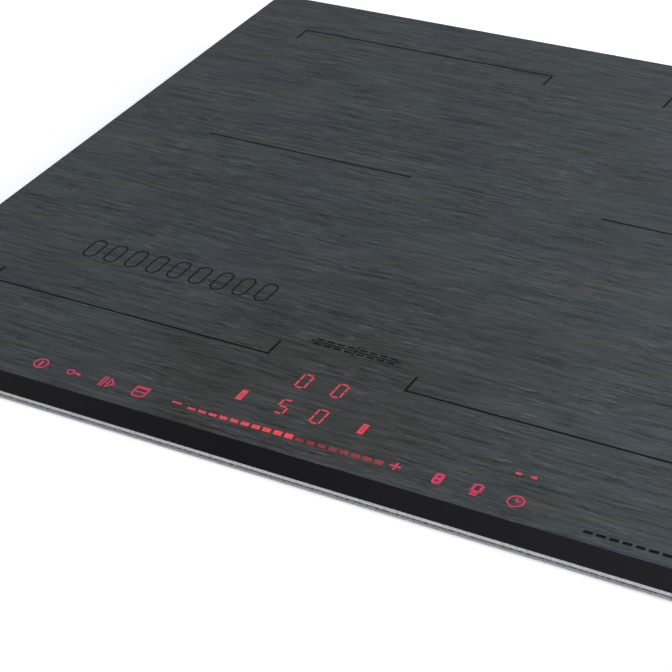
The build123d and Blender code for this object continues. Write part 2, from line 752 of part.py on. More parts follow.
# Rubber supports between the decks and the carriers
with BuildPart() as coil_supports:
    for name, x, y, turns in coil_places():
        reach = winding_radius(turns) - SUPPORT_EDGE
        for k in range(SUPPORT_COUNT):
            angle = radians(180 / FERRITE_COUNT + k * 360 / SUPPORT_COUNT)
            post(x + reach * cos(angle), y + reach * sin(angle), Z_DECK_TOP, Z_CARRIER, SUPPORT_R)
save(coil_supports, "coil_supports")

# Temperature sensors in the middle of the coils
with BuildPart() as pan_sensors:
    for name, x, y, turns in coil_places():
        post(x, y, Z_CARRIER - SENSOR_TAIL, Z_GLASS - LAY_GAP, SENSOR_R)
        post(x, y, Z_CARRIER - SENSOR_FLANGE_T, Z_CARRIER, SENSOR_FLANGE_R)
save(pan_sensors, "pan_sensors")

# Fan frames: a square ring with a spider that holds the bearing pin
Z_SPIDER = Z_FLOOR + FAN_SPIDER_T
Z_ROTOR = Z_SPIDER + FAN_HUB_GAP
for name, side in SIDES.items():
    x = side * FAN_X
    with BuildPart() as fan_frame:
        with BuildSketch(Plane((x, FAN_Y, Z_FLOOR))):
            RectangleRounded(FAN_SIZE, FAN_SIZE, FAN_HOLE_INSET)
            Circle(FAN_BORE_R, mode=Mode.SUBTRACT)
            corner = FAN_SIZE - 2 * FAN_HOLE_INSET
            with GridLocations(corner, corner, 2, 2):
                Circle(FAN_HOLE_R, mode=Mode.SUBTRACT)
        extrude(amount=FAN_H)
        with BuildSketch(Plane((x, FAN_Y, Z_FLOOR))):
            Circle(FAN_HUB_R)
            with PolarLocations((FAN_BORE_R + FAN_HUB_R) / 2, FAN_STRUT_COUNT, start_angle=45):
                Rectangle(FAN_BORE_R - FAN_HUB_R + FAN_STRUT_W, FAN_STRUT_W)
        extrude(amount=FAN_SPIDER_T)
        post(x, FAN_Y, Z_SPIDER, Z_SPIDER + FAN_PIN_H, FAN_PIN_R)
    save(fan_frame, f"fan_frame_{name}")

# Fan rotors: a hub that runs on the pin, with pitched blades
BLADE_TIP_R = FAN_BORE_R - FAN_BLADE_GAP
BLADE_ROOT_R = FAN_HUB_R - FAN_BLADE_T
for name, side in SIDES.items():
    x = side * FAN_X
    hub_plane = Plane((x, FAN_Y, Z_ROTOR))
    with BuildPart() as fan_rotor:
        for k in range(FAN_BLADE_COUNT):
            angle = 2 * pi * k / FAN_BLADE_COUNT
            outward = Vector(cos(angle), sin(angle), 0)
            across = Vector(-sin(angle), cos(angle), 0)
            root = Vector(x, FAN_Y, Z_ROTOR + FAN_HUB_H / 2) + outward * BLADE_ROOT_R
            with BuildSketch(Plane(root, x_dir=across, z_dir=outward)):
                Rectangle(FAN_BLADE_CHORD, FAN_BLADE_T, rotation=side * FAN_BLADE_PITCH_DEG)
            extrude(amount=FAN_SIZE / 2 - BLADE_ROOT_R)
        with BuildSketch(hub_plane):
            Circle(BLADE_TIP_R)
        extrude(amount=FAN_HUB_H, mode=Mode.INTERSECT)
        with BuildSketch(hub_plane):
            Circle(FAN_HUB_R)
        extrude(amount=FAN_HUB_H)
        with BuildSketch(hub_plane):
            Circle(FAN_PIN_R + RUNNING_GAP)
        extrude(amount=FAN_PIN_H - FAN_HUB_GAP + FAN_PIN_END_GAP, mode=Mode.SUBTRACT)
    save(fan_rotor, f"fan_rotor_{name}")

# Power boards on their standoffs
for name, side in SIDES.items():
    with BuildPart() as power_board:
        slab(side * BOARD_X0, side * BOARD_X1, BOARD_Y0, BOARD_Y1, Z_BOARD, Z_BOARD_TOP)
        for x, y in standoff_places(side):
            post(x, y, Z_BOARD, Z_BOARD_TOP, STANDOFF_PIN_R + SCREW_GAP, Mode.SUBTRACT)
    save(power_board, f"power_board_{name}")

with BuildPart() as board_standoffs:
    for side in SIDES.values():
        for x, y in standoff_places(side):
            post(x, y, Z_FLOOR, Z_BOARD, STANDOFF_R)
            post(x, y, Z_BOARD, Z_BOARD_TOP + STANDOFF_PIN_H, STANDOFF_PIN_R)
save(board_standoffs, "board_standoffs")

# Finned heat sinks in line with the fans
for name, side in SIDES.items():
    x = side * FAN_X
    with BuildPart() as heat_sink:
        slab(x - SINK_W / 2, x + SINK_W / 2, SINK_Y0, SINK_Y1, Z_BOARD_TOP, Z_BOARD_TOP + SINK_BASE_T)
        pitch = (SINK_W - SINK_FIN_T) / (SINK_FIN_COUNT - 1)
        for k in range(SINK_FIN_COUNT):
            fin_x = x - SINK_W / 2 + k * pitch
            slab(fin_x, fin_x + SINK_FIN_T, SINK_Y0, SINK_Y1, Z_BOARD_TOP, Z_BOARD_FULL)
    save(heat_sink, f"heat_sink_{name}")

# Power transistors against the outer side of each heat sink
with BuildPart() as power_transistors:
    for side in SIDES.values():
        x0 = side * (FAN_X + SINK_W / 2)
        x1 = x0 + side * SWITCH_T
        leg_x = (x0 + x1) / 2
        z0 = Z_BOARD_TOP + SWITCH_LEG_H
        for k in range(SWITCH_COUNT):
            y = (SINK_Y0 + SINK_Y1) / 2 + (k - (SWITCH_COUNT - 1) / 2) * SWITCH_PITCH
            slab(x0, x1, y - SWITCH_W / 2, y + SWITCH_W / 2, z0, Z_BOARD_FULL - SWITCH_TOP_GAP)
            for leg in (-1, 0, 1):
                leg_y = y + leg * SWITCH_LEG_PITCH
                slab(leg_x - SWITCH_LEG / 2, leg_x + SWITCH_LEG / 2, leg_y - SWITCH_LEG / 2,
                     leg_y + SWITCH_LEG / 2, Z_BOARD_TOP, z0)
save(power_transistors, "power_transistors")

# Film capacitors and round can capacitors on the boards
with BuildPart() as capacitors:
    for side in SIDES.values():
        with BuildSketch(Plane.XY.offset(Z_BOARD_TOP)):
            with Locations((side * (BOARD_X1 - FILM_CAP_SIDE), BOARD_Y0 + FILM_CAP_FRONT)):
                with GridLocations(FILM_CAP_W, FILM_CAP_PITCH, 1, FILM_CAP_COUNT):
                    RectangleRounded(FILM_CAP_W, FILM_CAP_D, FILM_CAP_R)
        extrude(amount=Z_BOARD_FULL - Z_BOARD_TOP)
        with BuildSketch(Plane.XY.offset(Z_BOARD_TOP)):
            with Locations((side * (BOARD_X1 - CAN_CAP_SIDE), BOARD_Y1 - CAN_CAP_BACK)):
                with GridLocations(CAN_CAP_R, CAN_CAP_PITCH, 1, CAN_CAP_COUNT):
                    Circle(CAN_CAP_R)
        extrude(amount=Z_BOARD_FULL - Z_BOARD_TOP)
save(capacitors, "capacitors")

# Terminal box: open to the rear wall and to the pan's floor opening
HINGE_Y = OPEN_Y0 + COVER_HINGE_BACK
HINGE_Z = Z_BOTTOM + COVER_HINGE_RISE
with BuildPart() as terminal_box:
    slab(TERM_X0, TERM_X1, TERM_Y0, TERM_Y1, Z_FLOOR, TERM_TOP_Z)
    slab(OPEN_X0, OPEN_X1, OPEN_Y0, TERM_Y1, Z_FLOOR, TERM_TOP_Z - TERM_WALL, Mode.SUBTRACT)
    lying((TERM_X0, HINGE_Y, HINGE_Z), (1, 0, 0), COVER_PIN_R + RUNNING_GAP,
          TERM_X1 - TERM_X0, Mode.SUBTRACT)
save(terminal_box, "terminal_box")

# Terminal block under the box's ceiling
BLOCK_Z1 = TERM_TOP_Z - TERM_WALL
BLOCK_Z0 = BLOCK_Z1 - BLOCK_H
BLOCK_Y = (OPEN_Y0 + OPEN_Y1) / 2
with BuildPart() as terminal_block:
    slab(GROMMET_X - BLOCK_L / 2, GROMMET_X + BLOCK_L / 2, BLOCK_Y - BLOCK_W / 2,
         BLOCK_Y + BLOCK_W / 2, BLOCK_Z0, BLOCK_Z1)
    with BuildSketch(Plane.XY.offset(BLOCK_Z0)):
        with Locations((GROMMET_X, BLOCK_Y)):
            with GridLocations(BLOCK_L / BLOCK_POLES, BLOCK_W / 2, BLOCK_POLES, 2):
                Circle(BLOCK_HOLE_R)
    extrude(amount=BLOCK_HOLE_DEPTH, mode=Mode.SUBTRACT)
save(terminal_block, "terminal_block")

# Hinged cover in the pan's floor opening, with a pin at each end of its hinge line
COVER_X0 = OPEN_X0 + COVER_GAP
COVER_X1 = OPEN_X1 - COVER_GAP
with BuildPart() as terminal_cover:
    slab(COVER_X0, COVER_X1, HINGE_Y - COVER_NOSE, OPEN_Y1 - COVER_GAP, Z_BOTTOM, Z_BOTTOM + COVER_T)
    for x, way in ((COVER_X0, 1), (COVER_X1, -1)):
        lying((x, HINGE_Y, HINGE_Z), (way, 0, 0), COVER_LUG_R, COVER_LUG_W)
        lying((x, HINGE_Y, HINGE_Z), (-way, 0, 0), COVER_PIN_R, COVER_GAP + COVER_PIN_BITE)
save(terminal_cover, "terminal_cover")

# Rubber grommet where the mains cable enters through the rear wall
with BuildPart() as cable_grommet:
    start = PAN_INNER_Y - GROMMET_FLANGE_T
    grommet_l = PAN_SHEET + 2 * GROMMET_FLANGE_T
    lying((GROMMET_X, start, GROMMET_Z), (0, 1, 0), GROMMET_NECK_R, grommet_l)
    lying((GROMMET_X, start, GROMMET_Z), (0, 1, 0), GROMMET_FLANGE_R, GROMMET_FLANGE_T)
    lying((GROMMET_X, PAN_Y, GROMMET_Z), (0, 1, 0), GROMMET_FLANGE_R, GROMMET_FLANGE_T)
    lying((GROMMET_X, start, GROMMET_Z), (0, 1, 0), GROMMET_BORE_R, grommet_l, Mode.SUBTRACT)
save(cable_grommet, "cable_grommet")

# Touch board on a moulded tray that stands on the pan's floor
with BuildPart() as touch_board:
    slab(TOUCH_X0, TOUCH_X1, TOUCH_Y0, TOUCH_Y1, Z_TOUCH, Z_TOUCH_TOP)
save(touch_board, "touch_board")

TRAY_Y1 = TOUCH_Y1 - TRAY_BACK
with BuildPart() as touch_tray:
    slab(TOUCH_X0, TOUCH_X1, TOUCH_Y0, TRAY_Y1, Z_TRAY, Z_TOUCH)
    leg_xs = (TOUCH_X0 + TRAY_LEG_INSET, (TOUCH_X0 + TOUCH_X1) / 2, TOUCH_X1 - TRAY_LEG_INSET)
    for x in leg_xs:
        for y in (TOUCH_Y0 + TRAY_LEG_INSET, TRAY_Y1 - TRAY_LEG_INSET):
            post(x, y, Z_FLOOR, Z_TRAY, TRAY_LEG_R)
save(touch_tray, "touch_tray")

# Conductive pads under the keys and the slider
KEY_XS = (
    KEY_POWER_X, KEY_LOCK_X, KEY_PAUSE_X, KEY_WARM_X, KEY_MINUS_X, KEY_PLUS_X, KEY_BOOST_X,
    KEY_GRILL_X, KEY_CLOCK_X,
)
KEY_Y = FACET_Y + ROW_KEYS
SLIDER_X1 = SLIDER_X0 + SLIDER_PITCH * (SLIDER_COUNT - 1) + SLIDER_L
with BuildPart() as touch_pads:
    for x in KEY_XS:
        post(x, KEY_Y, Z_TOUCH_TOP, Z_GLASS, TOUCH_PAD_R)
    slab(SLIDER_X0, SLIDER_X1, KEY_Y - TOUCH_PAD_R, KEY_Y + TOUCH_PAD_R, Z_TOUCH_TOP, Z_GLASS)
save(touch_pads, "touch_pads")

# Light modules under the digits, the zone markers and the timer
DIGIT_MIDDLE_X = (DIGIT_UPPER_X + DIGIT_LOWER_X + DIGIT_PITCH) / 2
with BuildPart() as display_modules:
    with BuildSketch(Plane.XY.offset(Z_TOUCH_TOP)):
        with Locations((DIGIT_MIDDLE_X, DISPLAY_Y)):
            Rectangle(DIGIT_PITCH + DIGIT_W + 2 * DISPLAY_MARGIN, DISPLAY_D)
        with Locations((MARKER_LEFT_X, FACET_Y + ROW_LOWER), (MARKER_RIGHT_X, FACET_Y + ROW_LOWER)):
            Rectangle(MARKER_W + DISPLAY_MARGIN, MARKER_H + DISPLAY_MARGIN)
        with Locations((TIMER_X, FACET_Y + ROW_LOWER)):
            Rectangle(2 * TIMER_PITCH + DISPLAY_MARGIN, MARKER_H + DISPLAY_MARGIN)
    extrude(amount=TOUCH_AIR - DISPLAY_GAP)
save(display_modules, "display_modules")

# Ribbon cable from the touch board down to the right power board
RIBBON_Y = TOUCH_Y1 - RIBBON_INSET
with BuildPart() as ribbon_cable:
    with BuildSketch(Plane.YZ.offset(RIBBON_X - RIBBON_W / 2)):
        with BuildLine() as ribbon_line:
            FilletPolyline(
                (RIBBON_Y, Z_TOUCH),
                (RIBBON_Y, Z_BOARD_TOP),
                (BOARD_Y0 + RIBBON_LANDING, Z_BOARD_TOP),
                radius=RIBBON_BEND_R,
            )
            offset(amount=RIBBON_T, side=Side.LEFT)
        make_face()
    extrude(amount=RIBBON_W)
save(ribbon_cable, "ribbon_cable")


def mark(x, row, width, height, mode=Mode.ADD):
    """Printed rectangle; row is measured back from the facet's upper edge."""
    with Locations((x, FACET_Y + row)):
        Rectangle(width, height, mode=mode)


def outline_mark(x, row, width, height, radius, stroke):
    """Printed outline of a rounded rectangle."""
    with Locations((x, FACET_Y + row)):
        RectangleRounded(width, height, radius)
        RectangleRounded(width - 2 * stroke, height - 2 * stroke, radius - stroke, mode=Mode.SUBTRACT)


def ring_mark(x, row, radius):
    """Printed ring."""
    with Locations((x, FACET_Y + row)):
        Circle(radius)
        Circle(radius - STROKE, mode=Mode.SUBTRACT)


def digit_mark(x, row, segments):
    """Seven-segment digit; segments are lettered clockwise from the top, g in the middle."""
    bar_l = DIGIT_W - 2 * (DIGIT_STROKE + DIGIT_GAP)
    bar_x = (DIGIT_W - DIGIT_STROKE) / 2
    half = (DIGIT_H - DIGIT_STROKE) / 2
    upright = half - DIGIT_STROKE / 2 - DIGIT_GAP
    places = {
        "a": (0, half, bar_l, DIGIT_STROKE),
        "b": (bar_x, half / 2, DIGIT_STROKE, upright),
        "c": (bar_x, -half / 2, DIGIT_STROKE, upright),
        "d": (0, -half, bar_l, DIGIT_STROKE),
        "e": (-bar_x, -half / 2, DIGIT_STROKE, upright),
        "f": (-bar_x, half / 2, DIGIT_STROKE, upright),
        "g": (0, 0, bar_l, DIGIT_STROKE),
    }
    for letter in segments:
        dx, dy, width, height = places[letter]
        mark(x + dx, row + dy, width, height)


def slider_mark(k):
    """One leaning slider segment; the lit run and the dim run each grow towards the right."""
    if k < SLIDER_LIT:
        grow = k / (SLIDER_LIT - 1)
        height = SLIDER_LOW_H + grow * (SLIDER_HIGH_H - SLIDER_LOW_H)
    else:
        grow = (k - SLIDER_LIT) / (SLIDER_COUNT - SLIDER_LIT - 1)
        height = SLIDER_DIM_LOW_H + grow * (SLIDER_DIM_HIGH_H - SLIDER_DIM_LOW_H)
    x0 = SLIDER_X0 + k * SLIDER_PITCH
    x1 = x0 + SLIDER_L
    y0 = FACET_Y + SLIDER_BASE
    y1 = y0 + height
    Polygon((x0, y0), (x1, y0), (x1 - SLIDER_LEAN, y1), (x0 - SLIDER_LEAN, y1), align=None)


# Zone lines and the plain ornament, in black enamel
with BuildPart() as zone_markings:
    with BuildSketch(Plane.XY.offset(Z_TOP)):
        for side in SIDES.values():
            for row, way in ((ZONE_FRONT, 1), (ZONE_REAR, -1)):
                mark(side * ZONE_X, row, ZONE_W + LINE_W, LINE_W)
                for end in (-1, 1):
                    tick_x = side * ZONE_X + end * ZONE_W / 2
                    mark(tick_x, row + way * ZONE_TICK / 2, LINE_W, ZONE_TICK)
            mark(side * ZONE_X, ZONE_MIDDLE, ZONE_W - 2 * MIDDLE_INSET, LINE_W)
        for k in range(GRID_COUNT):
            outline_mark(GRID_X0 + k * GRID_PITCH, GRID_ROW, GRID_SLOT_W, GRID_SLOT_H,
                         GRID_SLOT_R, GRID_STROKE)
        mark(CROSS_X, CROSS_ROW, CROSS_L, CROSS_STROKE)
        mark(CROSS_X, CROSS_ROW, CROSS_STROKE, CROSS_H)
        for k in range(CROSS_DASH_COUNT):
            for side in SIDES.values():
                dash_x = CROSS_X + side * (CROSS_DASH_START + k * CROSS_DASH_PITCH)
                for level in (-1, 1):
                    mark(dash_x, CROSS_ROW + level * CROSS_DASH_RISE, CROSS_DASH_L, CROSS_DASH_H)
        for k in range(FOOT_DASH_COUNT):
            dash_x = FOOT_X + (k - (FOOT_DASH_COUNT - 1) / 2) * FOOT_DASH_PITCH
            mark(dash_x, FOOT_ROW, FOOT_DASH_L, FOOT_DASH_H)
    extrude(amount=PRINT_T)
save(zone_markings, "zone_markings")

# Symbols that are lit
with BuildPart() as lit_symbols:
    with BuildSketch(Plane.XY.offset(Z_TOP)):
        # On and off: a bar in a ring
        ring_mark(KEY_POWER_X, ROW_KEYS, POWER_R)
        mark(KEY_POWER_X, ROW_KEYS, POWER_BAR_W, POWER_BAR_L)
        # Lock: a key
        ring_mark(KEY_LOCK_X - LOCK_RING_R, ROW_KEYS, LOCK_RING_R)
        shaft_x = KEY_LOCK_X - STROKE
        mark(shaft_x + LOCK_SHAFT_L / 2, ROW_KEYS, LOCK_SHAFT_L, STROKE)
        mark(shaft_x + LOCK_SHAFT_L - LOCK_BIT_L / 2, ROW_KEYS - STROKE / 2, LOCK_BIT_L, LOCK_BIT_H)
        # Pause: two bars and an open arrow
        for k in (1, 2):
            mark(KEY_PAUSE_X - k * PAUSE_BAR_PITCH, ROW_KEYS, STROKE, PAUSE_BAR_H)
        with Locations((KEY_PAUSE_X + PAUSE_BAR_PITCH, FACET_Y + ROW_KEYS)):
            Triangle(a=PAUSE_BAR_H, b=PLAY_SIDE, c=PLAY_SIDE, rotation=-90)
            open_side = PLAY_SIDE * PLAY_OPEN
            Triangle(a=PAUSE_BAR_H * PLAY_OPEN, b=open_side, c=open_side, rotation=-90, mode=Mode.SUBTRACT)
        # Keep warm: a pot with a lid
        outline_mark(KEY_WARM_X, ROW_KEYS, POT_W, POT_H, POT_R, STROKE)
        mark(KEY_WARM_X, ROW_KEYS, POT_W, STROKE)
        mark(KEY_WARM_X, ROW_KEYS + (POT_H - POT_LID_H) / 2, POT_W, POT_LID_H)
        # Less and more
        mark(KEY_MINUS_X, ROW_KEYS, MINUS_L, SIGN_STROKE)
        mark(KEY_PLUS_X, ROW_KEYS, PLUS_L, SIGN_STROKE)
        mark(KEY_PLUS_X, ROW_KEYS, SIGN_STROKE, PLUS_L)
        # Boost: two stacked windows
        outline_mark(KEY_BOOST_X, ROW_KEYS, BOOST_W, BOOST_H, BOOST_R, BOOST_STROKE)
        mark(KEY_BOOST_X, ROW_KEYS, BOOST_W - BOOST_STROKE, BOOST_STROKE)
        # Grill plate with short ticks at its sides, over its bars
        grill_row = ROW_KEYS + GRILL_RISE
        outline_mark(KEY_GRILL_X, grill_row, GRILL_W, GRILL_H, GRILL_R, GRILL_STROKE)
        for k in (-1, 0, 1):
            mark(KEY_GRILL_X, grill_row + k * GRILL_TICK_PITCH, GRILL_W + 2 * GRILL_TICK_L, STROKE)
        mark(KEY_GRILL_X, grill_row, GRILL_W - 2 * GRILL_STROKE, GRILL_H - 2 * GRILL_STROKE, Mode.SUBTRACT)
        for k in (1, 2):
            bar_row = grill_row - GRILL_H / 2 - k * GRILL_BAR_PITCH + STROKE
            mark(KEY_GRILL_X, bar_row, GRILL_BAR_L, STROKE)
        # Timer: a clock face with two hands
        ring_mark(KEY_CLOCK_X, ROW_KEYS, CLOCK_R)
        mark(KEY_CLOCK_X, ROW_KEYS + CLOCK_HAND_L / 2, STROKE, CLOCK_HAND_L)
        mark(KEY_CLOCK_X + CLOCK_HAND_L / 2, ROW_KEYS, CLOCK_HAND_L, STROKE)
        # Slider, digits, zone markers and timer dashes
        for k in range(SLIDER_LIT):
            slider_mark(k)
        for x, row, segments in (
            (DIGIT_UPPER_X, ROW_UPPER, "abcdef"),
            (DIGIT_UPPER_X + DIGIT_PITCH, ROW_UPPER, "abcdef"),
            (DIGIT_LOWER_X, ROW_LOWER, "afgcd"),
            (DIGIT_LOWER_X + DIGIT_PITCH, ROW_LOWER, "abcdef"),
        ):
            digit_mark(x, row, segments)
        for x in (MARKER_LEFT_X, MARKER_RIGHT_X):
            mark(x, ROW_LOWER, MARKER_W, MARKER_H)
            mark(x, ROW_LOWER, MARKER_LINE_W, MARKER_LINE_L, Mode.SUBTRACT)
        for side in SIDES.values():
            with Locations((TIMER_X + side * TIMER_PITCH / 2, FACET_Y + ROW_LOWER)):
                RectangleRounded(TIMER_DASH_L, TIMER_DASH_H, TIMER_DASH_R)
    extrude(amount=PRINT_T)
save(lit_symbols, "lit_symbols")

# Slider segments that are dim
with BuildPart() as dim_symbols:
    with BuildSketch(Plane.XY.offset(Z_TOP)):
        for k in range(SLIDER_LIT, SLIDER_COUNT):
            slider_mark(k)
    extrude(amount=PRINT_T)
save(dim_symbols, "dim_symbols")
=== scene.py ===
import json
import math

import bmesh
import bpy
from mathutils import Matrix, Vector


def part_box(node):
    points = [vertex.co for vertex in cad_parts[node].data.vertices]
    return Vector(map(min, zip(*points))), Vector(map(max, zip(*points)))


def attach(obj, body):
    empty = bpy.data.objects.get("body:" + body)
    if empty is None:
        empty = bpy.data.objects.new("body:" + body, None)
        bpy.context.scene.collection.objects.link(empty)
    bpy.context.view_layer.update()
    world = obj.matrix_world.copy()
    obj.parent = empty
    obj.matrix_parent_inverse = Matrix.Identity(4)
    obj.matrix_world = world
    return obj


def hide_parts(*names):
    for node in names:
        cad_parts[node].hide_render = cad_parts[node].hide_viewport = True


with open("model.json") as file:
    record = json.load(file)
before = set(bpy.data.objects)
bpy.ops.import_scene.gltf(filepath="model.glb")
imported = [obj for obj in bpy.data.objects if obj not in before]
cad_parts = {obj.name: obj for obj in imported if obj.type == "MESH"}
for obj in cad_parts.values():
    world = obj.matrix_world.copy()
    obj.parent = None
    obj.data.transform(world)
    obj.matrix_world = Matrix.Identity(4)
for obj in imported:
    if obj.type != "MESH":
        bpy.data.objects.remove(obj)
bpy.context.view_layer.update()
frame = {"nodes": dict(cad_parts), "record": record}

MM = 0.001
NODES = frame["nodes"]
ROOT = "cooktop"

# Camera fitted to the photograph, in the frame's metres
CAMERA_PLACE = Vector((0.51718, -0.98004, 0.66043))
CAMERA_RIGHT = Vector((0.86467, 0.49828, -0.06371))
CAMERA_DOWN = Vector((0.22757, -0.50162, -0.83462))
CAMERA_REACH = 50.0
SENSOR_MM = 36.0
LENS_MM = 111.8

# Levels and edges read from the frame
GLASS_LOW, GLASS_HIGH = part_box("glass_panel")
SEAL_LOW, SEAL_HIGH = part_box("worktop_seal")
DIM_LOW, DIM_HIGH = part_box("dim_symbols")
FLOOR_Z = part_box("base_pan")[0].z

# Stage floor: its gap below the base, half its width, its glow near and far and the distances of these.
# Rays shorter than FLOOR_CLEAR pass through it, so that light from below reaches the underside of the base.
STAGE_GAP = 0.0002
FLOOR_REACH = 20.0
FLOOR_GLOW = (0.34, 0.5)
FLOOR_GLOW_SPAN = (0.6, 1.8)
FLOOR_CLEAR = 0.006

# Stage sheet: it hides the pan's front from above, where the photograph shows only white. From below it is
# see-through, so lower views from the front show the pan.
# Half its width at the seal, how much wider it is at the far right, how far it reaches under the seal and
# lies below it, its depth, its rise per depth, its glow far off and at the seal, and the distance over which
# a painted contact shadow lowers that glow towards the seal.
SHEET_HALF = 0.288
SHEET_FLARE = 0.13
SHEET_UNDER = 0.0006
SHEET_DROP = 0.0009
SHEET_DEEP = 0.28
SHEET_SLOPE = 0.75
# Painted contact shadow: the sheet's glow drops from the first value to the second close to the seal
SHEET_GLOW_AND_PAINTED_SHADOW = (1.0, 0.74)
SHEET_PAINTED_SHADOW_SPAN = 0.01

# Display: half its width, and the depths of the keys' row and of its middle behind the front edge
DISPLAY_HALF = 0.07
KEY_ROW_DEPTH = 0.042
DISPLAY_DEPTH = 0.06
DISPLAY_PLACE = Vector((0.0, GLASS_LOW.y + DISPLAY_DEPTH, GLASS_HIGH.z))

# Foam strip: points of its section, how round that is (0 is a box, 1 an ellipse), its outer corner radius,
# the points of each corner, the least inner corner radius, and the depths below the glass between which the
# painted shade at its top, where the glass's edge shades it, fades out
FOAM_STEPS = 16
FOAM_ROUND = 0.15
FOAM_CORNER = 0.0036
FOAM_TURNS = 7
FOAM_INNER_CORNER = 0.0001
PAINTED_SHADE_LOW = 1.6 * MM
PAINTED_SHADE_HIGH = 1.2 * MM

# Light levels: white behind the object, a darker room in reflections, soft light from the front
WORLD_DIFFUSE = 0.58
WORLD_SHOWN = 1.0
WORLD_LOW_GLOSS = 1.0
WORLD_HIGH_GLOSS = 0.1
GLOSS_LOW_RISE = math.sin(math.radians(3))
GLOSS_HIGH_RISE = math.sin(math.radians(20))
GLOSS_SIDE = 0.22
GLOSS_SIDE_REACH = 0.34
GLOSS_DARKEST = -0.48

# Lamps that face the origin: name, place, size in metres and watts
LAMPS = (
    ("key", Vector((0.9, -1.3, 1.7)), 1.6, 10.0),
    ("fill", Vector((1.0, -0.05, 0.62)), 0.8, 12.5),
)

# Ranges and the middle of what a noise texture gives
NOISE_RANGE = (0.3, 0.7)
NOISE_NARROW = (0.35, 0.65)
NOISE_MIDDLE = 0.5

# Glass print: noise waves per metre along X, Y and Z, with the streaks along X
DASH_WAVES = (72.0, 720.0, 1.0)
STREAK_WAVES = (24.0, 420.0, 1.0)
SPECK_WAVES = (320.0, 900.0, 1.0)
BAND_WAVES = (8.0, 110.0, 1.0)
CLOUD_WAVES = (9.0, 16.0, 1.0)
PATCH_WAVES = (12.0, 20.0, 1.0)
TINT_WAVES = (12.0, 22.0, 1.0)
WARMTH_WAVES = (16.0, 30.0, 1.0)
BEND_WAVES = 32.0
EDGE_WAVES = 900.0

# Shifts and a turn that keep these patterns apart, and how far the streaks bend, in metres
DARK_DASH_SHIFT = (3.7, 5.1, 0.0)
PATCH_SHIFT = (1.3, 2.2, 0.0)
WARMTH_SHIFT = (7.0, 4.0, 0.0)
TINT_TURN = (0, 0, 0.4)
BEND_SIZE = 0.004

# Weights of the patterns in the print's brightness, its mean and its least value
PALE_DASH_WEIGHT = 1.2
DARK_DASH_WEIGHT = 0.85
STREAK_WEIGHT = 1.3
SPECK_WEIGHT = 0.7
BAND_WEIGHT = 0.6
CLOUD_WEIGHT = 0.5
PRINT_MEAN = 0.97
PRINT_LEAST = 0.3

# Ranges that the patterns are mapped from or to, and the distances at which the print changes by the display
DASH_SPAN = (0.54, 0.74)
PATCH_SHARE = (0.35, 1.0)
WARMTH_SPAN = (0.52, 0.75)
WARMTH_SHARE = (0.0, 0.7)
DISPLAY_SPAN = (0.06, 0.17)
DISPLAY_SHARE = (0.9, 0.0)

# Faces of the glass by how far they point up, and their roughness
TOP_UP = 0.998
EDGE_UP = 0.4
TOP_ROUGH = (0.24, 0.36)
FACET_ROUGH = 0.06
EDGE_ROUGH = 0.45

# Lit symbols: waves per metre of their unevenness, its ranges, and the strength of the dim ones' glow
SYMBOL_WAVES = 420.0
LIT_UNEVEN = (0.84, 1.1)
DIM_UNEVEN = (0.8, 1.1)
DIM_STRENGTH = 0.9

# Zinc crystals: cells per metre, feather waves and their turn, how far the cells are bent, colour range
CRYSTALS = (95.0, 210.0)
FEATHER_WAVES = (700.0, 140.0, 420.0)
FEATHER_TURN = (0.3, 0.5, 0.7)
CRYSTAL_BEND = (0.985, 1.015)
CRYSTAL_SPAN = (0.2, 0.8)


def srgb(red, green, blue):
    """Colour as a picture shows it, 0 to 255, in the linear values that a shader takes."""
    def linear(value):
        share = value / 255
        return share / 12.92 if share <= 0.04045 else ((share + 0.055) / 1.055) ** 2.4
    return (linear(red), linear(green), linear(blue), 1.0)


# Colours of the materials that have a function each. A pair is the two ends of a mix.
WHITE = (1.0, 1.0, 1.0, 1.0)
PAPER = srgb(244, 245, 250)
PRINT_TINTS = (srgb(53, 59, 65), srgb(55, 62, 62))
PRINT_WARM = srgb(61, 60, 60)
PRINT_BY_DISPLAY = srgb(52, 54, 54)
FACET_BLACK = srgb(15, 14, 17)
GROUND_EDGE = (srgb(145, 145, 149), srgb(180, 180, 184))
KEY_RED = srgb(206, 60, 92)
DIGIT_RED = srgb(218, 71, 86)
SLIDER_REDS = (srgb(200, 72, 90), srgb(240, 72, 76))
DIM_REDS = (srgb(134, 54, 62), srgb(152, 62, 68))
LIT_BODY = srgb(50, 10, 14)
DIM_BODY = srgb(50, 16, 18)
ENAMEL = (srgb(6, 6, 8), srgb(16, 16, 18))
ZINC = (srgb(146, 150, 154), srgb(188, 191, 193))
FOAM_CELLS = (srgb(100, 101, 105), srgb(136, 137, 141))
# Painted shade: dark speckled colours for the top of the foam, where the glass's edge shades it
FOAM_PAINTED_SHADE = (srgb(46, 47, 50), srgb(110, 111, 115))
SOLDER_MASK = (srgb(24, 92, 54), srgb(14, 66, 38))
LITZ = (srgb(132, 70, 40), srgb(206, 128, 84))

